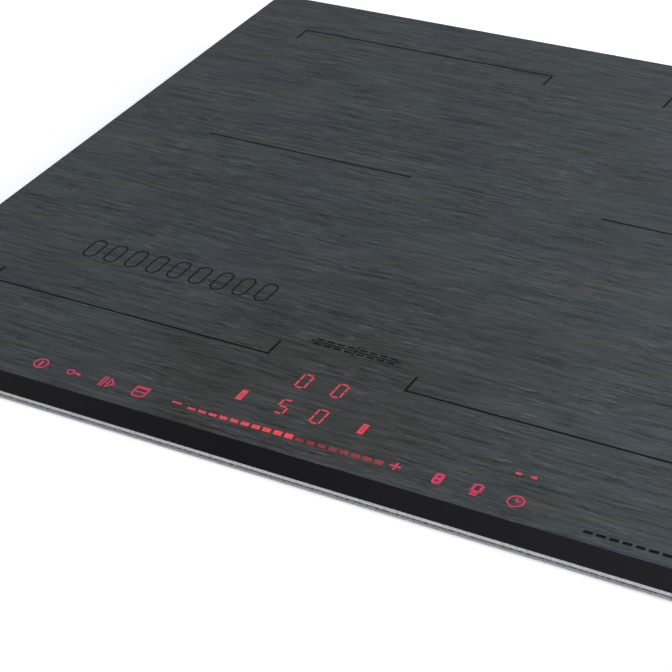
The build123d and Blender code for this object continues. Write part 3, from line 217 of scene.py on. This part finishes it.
# Moulded and porous looks: dark and pale colour, grain waves per metre and roughness, and where they differ
# from the usual ones, the strength and depth of the grain's relief and the specular level
GRAINS = {
    "silicone": ((18, 18, 19), (34, 34, 35), 300.0, 0.5),
    "carrier_plastic": ((34, 35, 36), (50, 50, 52), 500.0, 0.55),
    "ferrite": ((28, 28, 30), (46, 46, 48), 420.0, 0.7),
    "mineral_felt": ((190, 185, 172), (226, 222, 211), 380.0, 0.95, 0.6, 0.0008, 0.1),
    "black_rubber": ((16, 16, 17), (34, 34, 35), 600.0, 0.65),
    "sensor_ceramic": ((210, 208, 200), (232, 231, 226), 300.0, 0.6),
    "black_plastic": ((14, 14, 15), (30, 30, 32), 700.0, 0.45),
    "black_resin": ((16, 16, 17), (32, 32, 33), 500.0, 0.55),
    "capacitor_case": ((40, 54, 78), (58, 74, 102), 300.0, 0.35),
    "pale_nylon": ((206, 203, 192), (228, 226, 218), 400.0, 0.5),
    "grey_plastic": ((98, 100, 102), (122, 124, 126), 650.0, 0.5),
    "conductive_foam": ((30, 30, 32), (56, 56, 58), 700.0, 0.9, 0.4, 0.0005),
    "display_case": ((214, 214, 208), (232, 232, 228), 300.0, 0.5),
    "ribbon_grey": ((142, 144, 147), (168, 170, 172), 260.0, 0.4),
}

# Rolled or plated looks: dark and pale colour, blotch waves per metre, line waves along X, Y and Z, roughness
METALS = {
    "screw_steel": ((150, 150, 146), (205, 204, 196), 200.0, (90, 900, 900), 0.3),
    "sheet_aluminium": ((178, 180, 183), (214, 216, 218), 40.0, (12, 700, 700), 0.34),
}

# How far the roughness of these looks goes below and above its mean, how many blotches there are per
# grain, and the range of the grain's pattern that its colours span
METAL_ROUGH = (-0.06, 0.08)
GRAIN_ROUGH = (-0.06, 0.06)
BLOTCH_SHARE = 0.06
GRAIN_SPAN = (0.32, 0.68)


class Nodes:
    """A node tree with short calls for the nodes that this scene uses."""

    def __init__(self, tree):
        self.tree = tree

    def add(self, kind, **values):
        node = self.tree.nodes.new(kind)
        for key, value in values.items():
            setattr(node, key, value)
        return node

    def link(self, source, target):
        self.tree.links.new(source, target)

    def put(self, socket, value):
        """Links an output to a socket, or sets the socket to a constant."""
        if isinstance(value, bpy.types.NodeSocket):
            self.link(value, socket)
        else:
            socket.default_value = value

    def math(self, kind, first, second=0.0):
        node = self.add("ShaderNodeMath", operation=kind)
        self.put(node.inputs[0], first)
        self.put(node.inputs[1], second)
        return node.outputs[0]

    def span(self, value, low, high, to_low=0.0, to_high=1.0):
        """Maps a value from one range to another and stays within it."""
        node = self.add("ShaderNodeMapRange")
        node.inputs["From Min"].default_value = low
        node.inputs["From Max"].default_value = high
        node.inputs["To Min"].default_value = to_low
        node.inputs["To Max"].default_value = to_high
        self.link(value, node.inputs["Value"])
        return node.outputs["Result"]

    def axes(self, vector):
        """A vector's X, Y and Z outputs."""
        node = self.add("ShaderNodeSeparateXYZ")
        self.link(vector, node.inputs[0])
        return node.outputs

    def mix(self, share, first, second):
        """Mix of two numbers."""
        node = self.add("ShaderNodeMix")
        self.put(node.inputs[0], share)
        self.put(node.inputs[2], first)
        self.put(node.inputs[3], second)
        return node.outputs[0]

    def colour_mix(self, share, first, second):
        node = self.add("ShaderNodeMix", data_type="RGBA")
        self.put(node.inputs[0], share)
        self.put(node.inputs[6], first)
        self.put(node.inputs[7], second)
        return node.outputs[2]

    def weigh(self, *patterns):
        """Sum of patterns, each times its weight."""
        total = None
        for pattern, weight in patterns:
            part = self.math("MULTIPLY", pattern, weight)
            total = part if total is None else self.math("ADD", part, total)
        return total


class Shader(Nodes):
    """A material's nodes around its Principled surface."""

    def __init__(self, name, roughness=0.5, metallic=0.0, specular=0.5):
        self.material = bpy.data.materials.new(name)
        self.material.use_nodes = True
        super().__init__(self.material.node_tree)
        self.surface = self.tree.nodes["Principled BSDF"]
        self.surface.inputs["Roughness"].default_value = roughness
        self.surface.inputs["Metallic"].default_value = metallic
        self.surface.inputs["Specular IOR Level"].default_value = specular
        self.place = self.add("ShaderNodeTexCoord").outputs["Object"]

    def noise(self, waves, detail=2.0, rough=0.5, vector=None):
        node = self.add("ShaderNodeTexNoise")
        node.inputs["Scale"].default_value = waves
        node.inputs["Detail"].default_value = detail
        node.inputs["Roughness"].default_value = rough
        self.link(vector if vector is not None else self.place, node.inputs["Vector"])
        return node.outputs["Fac"]

    def stretched(self, waves, detail=1.0, rough=0.5, turn=(0, 0, 0), shift=(0, 0, 0)):
        """Noise with its own waves along X, Y and Z."""
        node = self.add("ShaderNodeMapping")
        node.inputs["Location"].default_value = shift
        node.inputs["Rotation"].default_value = turn
        node.inputs["Scale"].default_value = waves
        self.link(self.place, node.inputs["Vector"])
        return self.noise(1.0, detail, rough, node.outputs["Vector"])

    def cells(self, waves, output, vector=None):
        node = self.add("ShaderNodeTexVoronoi")
        node.inputs["Scale"].default_value = waves
        self.link(vector if vector is not None else self.place, node.inputs["Vector"])
        return node.outputs[output]

    def scaled(self, vector, factor):
        """A vector or colour times a number."""
        node = self.add("ShaderNodeVectorMath", operation="SCALE")
        self.link(vector, node.inputs[0])
        self.link(factor, node.inputs["Scale"])
        return node.outputs["Vector"]

    def bump(self, height, strength, distance):
        node = self.add("ShaderNodeBump")
        node.inputs["Strength"].default_value = strength
        node.inputs["Distance"].default_value = distance
        self.link(height, node.inputs["Height"])
        self.link(node.outputs["Normal"], self.surface.inputs["Normal"])

    def colour(self, value):
        self.put(self.surface.inputs["Base Color"], value)

    def rough(self, value):
        self.put(self.surface.inputs["Roughness"], value)

    def glow(self, colour, strength):
        self.put(self.surface.inputs["Emission Color"], colour)
        self.put(self.surface.inputs["Emission Strength"], strength)

    def backfacing(self):
        return self.add("ShaderNodeNewGeometry").outputs["Backfacing"]

    def show(self, surface, clear):
        """Makes this surface the material's, see-through where clear is 1."""
        choose = self.add("ShaderNodeMixShader")
        self.link(clear, choose.inputs[0])
        self.link(surface, choose.inputs[1])
        self.link(self.add("ShaderNodeBsdfTransparent").outputs[0], choose.inputs[2])
        self.link(choose.outputs[0], self.tree.nodes["Material Output"].inputs["Surface"])


def glass_material():
    """Streaked grey print under the top, black polished facet, pale ground edges."""
    s = Shader("brushed_look_glass", roughness=0.3, specular=0.5)
    bend = s.add("ShaderNodeCombineXYZ")
    sway = s.math("SUBTRACT", s.noise(BEND_WAVES), NOISE_MIDDLE)
    s.link(s.math("MULTIPLY", sway, BEND_SIZE), bend.inputs["Y"])
    bent = s.add("ShaderNodeVectorMath", operation="ADD")
    s.link(s.place, bent.inputs[0])
    s.link(bend.outputs[0], bent.inputs[1])
    s.place = bent.outputs[0]
    pale_dash = s.span(s.stretched(DASH_WAVES, detail=2.0, rough=0.6), *DASH_SPAN)
    dark_dash = s.span(s.stretched(DASH_WAVES, detail=2.0, rough=0.6, shift=DARK_DASH_SHIFT), *DASH_SPAN)
    streak = s.stretched(STREAK_WAVES)
    speck = s.stretched(SPECK_WAVES)
    band = s.stretched(BAND_WAVES)
    cloud = s.stretched(CLOUD_WAVES, detail=2.0)
    patch = s.span(s.stretched(PATCH_WAVES, shift=PATCH_SHIFT), *NOISE_NARROW, *PATCH_SHARE)
    pale = s.math("MULTIPLY", pale_dash, PALE_DASH_WEIGHT)
    dark = s.math("MULTIPLY", dark_dash, DARK_DASH_WEIGHT)
    shade = s.math("ADD", s.math("MULTIPLY", s.math("SUBTRACT", pale, dark), patch), PRINT_MEAN)
    for pattern, weight in ((streak, STREAK_WEIGHT), (speck, SPECK_WEIGHT),
                            (band, BAND_WEIGHT), (cloud, CLOUD_WEIGHT)):
        swing = s.math("SUBTRACT", pattern, NOISE_MIDDLE)
        shade = s.math("ADD", s.math("MULTIPLY", swing, weight), shade)
    shade = s.math("MAXIMUM", shade, PRINT_LEAST)
    tint = s.stretched(TINT_WAVES, turn=TINT_TURN)
    warmth = s.stretched(WARMTH_WAVES, shift=WARMTH_SHIFT)
    base = s.colour_mix(s.span(tint, *NOISE_NARROW), *PRINT_TINTS)
    base = s.colour_mix(s.span(warmth, *WARMTH_SPAN, *WARMTH_SHARE), base, PRINT_WARM)
    near = s.add("ShaderNodeVectorMath", operation="DISTANCE")
    s.link(s.place, near.inputs[0])
    near.inputs[1].default_value = DISPLAY_PLACE
    by_display = s.span(near.outputs["Value"], *DISPLAY_SPAN, *DISPLAY_SHARE)
    base = s.colour_mix(by_display, base, PRINT_BY_DISPLAY)
    up = s.axes(s.add("ShaderNodeNewGeometry").outputs["True Normal"])["Z"]
    on_top = s.math("GREATER_THAN", up, TOP_UP)
    on_edge = s.math("LESS_THAN", s.math("ABSOLUTE", up), EDGE_UP)
    grain = s.noise(EDGE_WAVES, rough=0.6)
    ground = s.colour_mix(s.span(grain, *NOISE_RANGE), *GROUND_EDGE)
    shown = s.colour_mix(on_top, FACET_BLACK, s.scaled(base, shade))
    s.colour(s.colour_mix(on_edge, shown, ground))
    top_rough = s.math("MULTIPLY", s.span(streak, *NOISE_RANGE, *TOP_ROUGH), on_top)
    facet_rough = s.math("MULTIPLY", s.math("SUBTRACT", 1.0, on_top), FACET_ROUGH)
    edge_rough = s.math("MULTIPLY", on_edge, EDGE_ROUGH)
    s.rough(s.math("ADD", s.math("ADD", top_rough, facet_rough), edge_rough))
    return s.material


def lit_material():
    """Symbols lit through the print, a little uneven. The slider's run is brightest at its end."""
    s = Shader("lit_symbol", roughness=0.35, specular=0.1)
    uneven = s.span(s.noise(SYMBOL_WAVES), *NOISE_RANGE, *LIT_UNEVEN)
    place = s.axes(s.place)
    middle = s.math("LESS_THAN", s.math("ABSOLUTE", place["X"]), DISPLAY_HALF)
    behind = s.math("GREATER_THAN", place["Y"], GLASS_LOW.y + KEY_ROW_DEPTH)
    run = s.colour_mix(s.span(place["X"], -DISPLAY_HALF, DIM_LOW.x), *SLIDER_REDS)
    shown = s.colour_mix(behind, s.colour_mix(middle, KEY_RED, run), DIGIT_RED)
    s.colour(LIT_BODY)
    s.glow(s.scaled(shown, uneven), strength=1.0)
    return s.material


def dim_material():
    """Slider segments that are off: a red glow that spreads to them, stronger towards the right."""
    s = Shader("dim_symbol", roughness=0.35, specular=0.1)
    shown = s.colour_mix(s.span(s.axes(s.place)["X"], DIM_LOW.x, DIM_HIGH.x), *DIM_REDS)
    uneven = s.span(s.noise(SYMBOL_WAVES), *NOISE_RANGE, *DIM_UNEVEN)
    s.colour(DIM_BODY)
    s.glow(s.scaled(shown, uneven), DIM_STRENGTH)
    return s.material


def enamel_material():
    """Black fired print with a faint grain."""
    s = Shader("black_enamel", roughness=0.4, specular=0.1)
    grain = s.noise(waves=700.0, rough=0.6)
    s.colour(s.colour_mix(s.span(grain, *NOISE_RANGE), *ENAMEL))
    s.rough(s.span(grain, *NOISE_RANGE, to_low=0.35, to_high=0.5))
    return s.material


def zinc_material():
    """Galvanised sheet: crystals of two sizes with feathered faces, and stains."""
    s = Shader("zinc_steel", roughness=0.38, metallic=0.85)
    wobble = s.noise(waves=90.0, rough=0.6)
    bent = s.scaled(s.place, s.span(wobble, 0.0, 1.0, *CRYSTAL_BEND))
    faces = []
    for waves in CRYSTALS:
        single = s.add("ShaderNodeSeparateColor")
        s.link(s.cells(waves, "Color", bent), single.inputs[0])
        faces.append(single.outputs[0])
    feather = s.stretched(FEATHER_WAVES, detail=3.0, rough=0.7, turn=FEATHER_TURN)
    stain = s.noise(waves=9.0, detail=3.0, rough=0.6)
    share = s.weigh((stain, 0.3), (faces[0], 0.34), (faces[1], 0.2), (feather, 0.16))
    s.colour(s.colour_mix(s.span(share, *CRYSTAL_SPAN), *ZINC))
    s.rough(s.span(share, *CRYSTAL_SPAN, to_low=0.34, to_high=0.5))
    s.bump(feather, strength=0.05, distance=0.0003)
    return s.material


def metal_material(name, dark, pale, waves, line_waves, roughness):
    """Rolled or plated metal with drawn lines."""
    s = Shader(name, roughness=roughness, metallic=1.0)
    lines = s.stretched(line_waves, detail=3.0, rough=0.6)
    blotch = s.noise(waves)
    share = s.weigh((lines, 0.6), (blotch, 0.4))
    s.colour(s.colour_mix(s.span(share, *NOISE_RANGE), srgb(*dark), srgb(*pale)))
    smooth, dull = METAL_ROUGH
    s.rough(s.span(lines, *NOISE_RANGE, roughness + smooth, roughness + dull))
    s.bump(lines, strength=0.1, distance=0.0002)
    return s.material


def grain_material(name, dark, pale, waves, roughness, relief=0.15, depth=0.0003, specular=0.4):
    """Moulded or porous surface: fine grain in colour, gloss and height."""
    s = Shader(name, roughness=roughness, specular=specular)
    grain = s.noise(waves, detail=3.0, rough=0.6)
    blotch = s.noise(waves * BLOTCH_SHARE)
    share = s.weigh((grain, 0.6), (blotch, 0.4))
    s.colour(s.colour_mix(s.span(share, *GRAIN_SPAN), srgb(*dark), srgb(*pale)))
    smooth, dull = GRAIN_ROUGH
    s.rough(s.span(grain, *NOISE_RANGE, roughness + smooth, roughness + dull))
    s.bump(grain, relief, depth)
    return s.material


def foam_material():
    """Closed-cell foam with small pores, with a dark speckled band of painted shade at its top, under the
    glass.
    """
    s = Shader("foam", roughness=0.9, specular=0.2)
    pores = s.cells(waves=700.0, output="Distance")
    patch = s.noise(waves=160.0)
    share = s.weigh((pores, 0.7), (patch, 0.3))
    cells = s.colour_mix(s.span(share, low=0.1, high=0.6), *FOAM_CELLS)
    # Painted shade: the top of the strip, next to the glass, is darkened as if shaded by the glass's edge
    painted_shade = s.span(s.axes(s.place)["Z"], SEAL_HIGH.z - PAINTED_SHADE_LOW, SEAL_HIGH.z - PAINTED_SHADE_HIGH)
    blotch = s.span(s.noise(waves=420.0, rough=0.6), low=0.4, high=0.6)
    s.colour(s.colour_mix(painted_shade, cells, s.colour_mix(blotch, *FOAM_PAINTED_SHADE)))
    s.bump(pores, strength=0.4, distance=0.0004)
    return s.material


def board_material():
    """Green solder mask with faint track lines."""
    s = Shader("circuit_board", roughness=0.4, specular=0.4)
    tracks = s.cells(waves=140.0, output="Distance")
    grain = s.noise(waves=260.0)
    share = s.weigh((s.span(tracks, low=0.0, high=0.25), 0.7), (grain, 0.3))
    s.colour(s.colour_mix(share, *SOLDER_MASK))
    s.bump(tracks, strength=0.1, distance=0.0002)
    return s.material


def litz_material():
    """Lacquered copper strands with a fine uneven grain."""
    s = Shader("copper_litz", roughness=0.35, metallic=0.9)
    strands = s.noise(waves=1400.0, rough=0.6)
    blotch = s.noise(waves=60.0)
    share = s.weigh((strands, 0.7), (blotch, 0.3))
    s.colour(s.colour_mix(s.span(share, *NOISE_RANGE), *LITZ))
    s.bump(strands, strength=0.3, distance=0.0003)
    return s.material


MATERIALS = {
    "brushed_look_glass": glass_material(),
    "black_enamel": enamel_material(),
    "lit_symbol": lit_material(),
    "dim_symbol": dim_material(),
    "foam": foam_material(),
    "zinc_steel": zinc_material(),
    "copper_litz": litz_material(),
    "circuit_board": board_material(),
}
for slot, look in GRAINS.items():
    MATERIALS[slot] = grain_material(slot, *look)
for slot, look in METALS.items():
    MATERIALS[slot] = metal_material(slot, *look)


def wear(obj, material):
    """Gives an object one material, whatever it came with."""
    obj.data.materials.clear()
    obj.data.materials.append(material)


for part in frame["record"]["subparts"]:
    wear(NODES[part["node"]], MATERIALS[part["material_slot"]])


def mesh_object(name, mesh):
    """Puts a bmesh into the scene as an object."""
    data = bpy.data.meshes.new(name)
    mesh.to_mesh(data)
    mesh.free()
    obj = bpy.data.objects.new(name, data)
    bpy.context.scene.collection.objects.link(obj)
    return obj


def foam_strip():
    """Foam strip under the glass: the seal's ring with the edges of its section rounded."""
    inner_x = min(v.co.x for v in NODES["worktop_seal"].data.vertices if v.co.x > 0)
    width = SEAL_HIGH.x - inner_x
    height = SEAL_HIGH.z - SEAL_LOW.z
    mesh = bmesh.new()
    rings = []
    for k in range(FOAM_STEPS):
        angle = 2 * math.pi * (k + 0.5) / FOAM_STEPS
        across = 0.5 + 0.5 * math.copysign(abs(math.cos(angle)) ** FOAM_ROUND, math.cos(angle))
        rise = 0.5 + 0.5 * math.copysign(abs(math.sin(angle)) ** FOAM_ROUND, math.sin(angle))
        inset = (1 - across) * width
        z = SEAL_LOW.z + rise * height
        radius = max(FOAM_CORNER - inset, FOAM_INNER_CORNER)
        ring = []
        for quarter, (sx, sy) in enumerate(((1, 1), (-1, 1), (-1, -1), (1, -1))):
            for turn in range(FOAM_TURNS):
                around = (quarter + turn / (FOAM_TURNS - 1)) * math.pi / 2
                x = sx * (SEAL_HIGH.x - inset - radius) + radius * math.cos(around)
                y = sy * (SEAL_HIGH.y - inset - radius) + radius * math.sin(around)
                ring.append(mesh.verts.new((x, y, z)))
        rings.append(ring)
    for here, there in zip(rings, rings[1:] + rings[:1]):
        for c in range(len(here)):
            d = (c + 1) % len(here)
            mesh.faces.new((here[c], here[d], there[d], there[c]))
    bmesh.ops.recalc_face_normals(mesh, faces=mesh.faces)
    obj = mesh_object("foam_strip", mesh)
    wear(obj, MATERIALS["foam"])
    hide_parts("worktop_seal")
    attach(obj, ROOT)


foam_strip()


def flat_face(name, corners):
    """One flat face with these corners."""
    mesh = bmesh.new()
    mesh.faces.new([mesh.verts.new(corner) for corner in corners])
    return mesh_object(name, mesh)


def floor_material():
    """Pale paper, see-through from below, that glows a little, more so far off, so that it stays white."""
    s = Shader("stage_floor", roughness=0.9, specular=0.1)
    s.colour(PAPER)
    away = s.add("ShaderNodeVectorMath", operation="LENGTH")
    s.link(s.place, away.inputs[0])
    s.glow(WHITE, s.span(away.outputs["Value"], *FLOOR_GLOW_SPAN, *FLOOR_GLOW))
    near = s.math("LESS_THAN", s.add("ShaderNodeLightPath").outputs["Ray Length"], FLOOR_CLEAR)
    s.show(s.surface.outputs[0], s.math("MAXIMUM", s.backfacing(), near))
    return s.material


def sheet_material():
    """White glowing paper that is see-through from below, with a painted contact shadow that darkens it
    towards the seal.
    """
    s = Shader("stage_sheet")
    paper = s.add("ShaderNodeEmission")
    # Painted contact shadow: the glow drops over the last centimetre up to the seal
    level = s.span(s.axes(s.place)["Y"], SEAL_LOW.y - SHEET_PAINTED_SHADOW_SPAN, SEAL_LOW.y, *SHEET_GLOW_AND_PAINTED_SHADOW)
    s.link(level, paper.inputs["Strength"])
    s.show(paper.outputs[0], s.backfacing())
    return s.material


def stage():
    """Pale floor under the base, and the sheet that rises to the front from under the seal."""
    floor_z = FLOOR_Z - STAGE_GAP
    floor = flat_face("stage_floor", (
        (-FLOOR_REACH, -FLOOR_REACH, floor_z),
        (FLOOR_REACH, -FLOOR_REACH, floor_z),
        (FLOOR_REACH, FLOOR_REACH, floor_z),
        (-FLOOR_REACH, FLOOR_REACH, floor_z),
    ))
    wear(floor, floor_material())
    near_y = SEAL_LOW.y + SHEET_UNDER
    near_z = SEAL_LOW.z - SHEET_DROP
    far_y = near_y - SHEET_DEEP
    far_z = near_z + SHEET_DEEP * SHEET_SLOPE
    sheet = flat_face("stage_sheet", (
        (-SHEET_HALF, far_y, far_z),
        (SHEET_HALF + SHEET_FLARE, far_y, far_z),
        (SHEET_HALF, near_y, near_z),
        (-SHEET_HALF, near_y, near_z),
    ))
    wear(sheet, sheet_material())
    sheet.visible_diffuse = False
    sheet.visible_glossy = False
    sheet.visible_shadow = False


stage()


def studio():
    """White surroundings, darker in reflections from above, and soft lamps."""
    scene = bpy.context.scene
    world = bpy.data.worlds.new("studio")
    scene.world = world
    world.use_nodes = True
    s = Nodes(world.node_tree)
    path = s.add("ShaderNodeLightPath").outputs
    direction = s.axes(s.add("ShaderNodeTexCoord").outputs["Generated"])
    room = s.span(direction["Z"], GLOSS_LOW_RISE, GLOSS_HIGH_RISE, WORLD_LOW_GLOSS, WORLD_HIGH_GLOSS)
    aside = s.math("ABSOLUTE", s.math("SUBTRACT", direction["X"], GLOSS_DARKEST))
    side = s.span(aside, 0.0, GLOSS_SIDE_REACH, 0.0, GLOSS_SIDE)
    level = s.mix(path["Is Glossy Ray"], WORLD_DIFFUSE, s.math("ADD", room, side))
    level = s.mix(path["Is Camera Ray"], level, WORLD_SHOWN)
    background = world.node_tree.nodes["Background"]
    s.link(level, background.inputs["Strength"])
    background.inputs["Color"].default_value = WHITE
    for name, place, size, watts in LAMPS:
        lamp = bpy.data.lights.new(name, "AREA")
        lamp.energy = watts
        lamp.size = size
        obj = bpy.data.objects.new(name, lamp)
        scene.collection.objects.link(obj)
        obj.location = place
        obj.rotation_euler = (-place).to_track_quat("-Z", "Y").to_euler()
    scene.view_settings.view_transform = "Standard"


def photo_camera():
    """Camera at the photograph's place and angle."""
    data = bpy.data.cameras.new("photo_camera")
    data.lens = LENS_MM
    data.sensor_width = SENSOR_MM
    data.dof.use_dof = False
    data.clip_end = CAMERA_REACH
    obj = bpy.data.objects.new("photo_camera", data)
    bpy.context.scene.collection.objects.link(obj)
    right = CAMERA_RIGHT.normalized()
    up = (-CAMERA_DOWN).normalized()
    back = right.cross(up)
    turn = Matrix((right, up, back)).transposed()
    obj.matrix_world = Matrix.Translation(CAMERA_PLACE) @ turn.to_4x4()
    bpy.context.scene.camera = obj


studio()
photo_camera()
